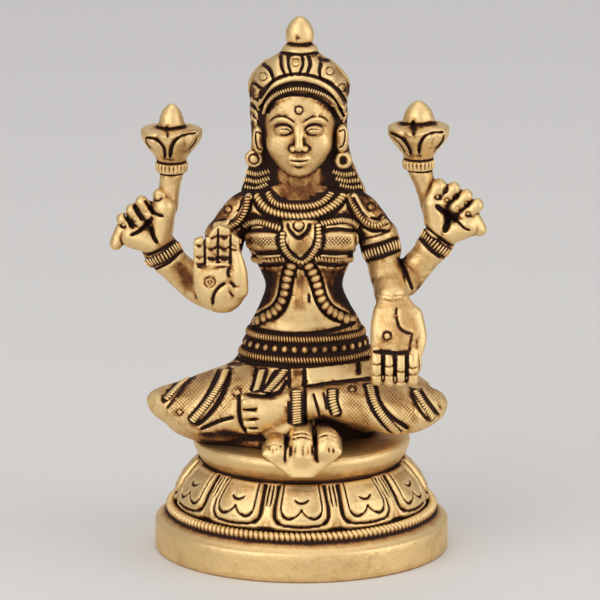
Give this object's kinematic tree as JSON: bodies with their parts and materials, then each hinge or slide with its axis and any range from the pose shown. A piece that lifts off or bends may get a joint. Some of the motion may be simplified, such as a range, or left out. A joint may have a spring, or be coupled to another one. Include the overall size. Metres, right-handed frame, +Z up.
{
  "type": "lakshmi figure",
  "caption": "Seated goddess cast in brass in one piece with her round lotus throne: raised hands hold lotuses, the lower hands bless and give. A small shrine or shelf figure.",
  "frame": {"origin": "centre of the round base, on its flat underside", "axes": "+Z up through the crown's knob, -Y the way the figure faces, +X towards the figure's own left hand"},
  "size_m": [0.062, 0.0484, 0.09],
  "materials": {
    "antique_brass": "cast and chased brass, polished on the high places, with a dark brown patina left in every groove"
  },
  "bodies": {
    "root": {"lakshmi_figure": "antique_brass"}
  },
  "joints": []
}
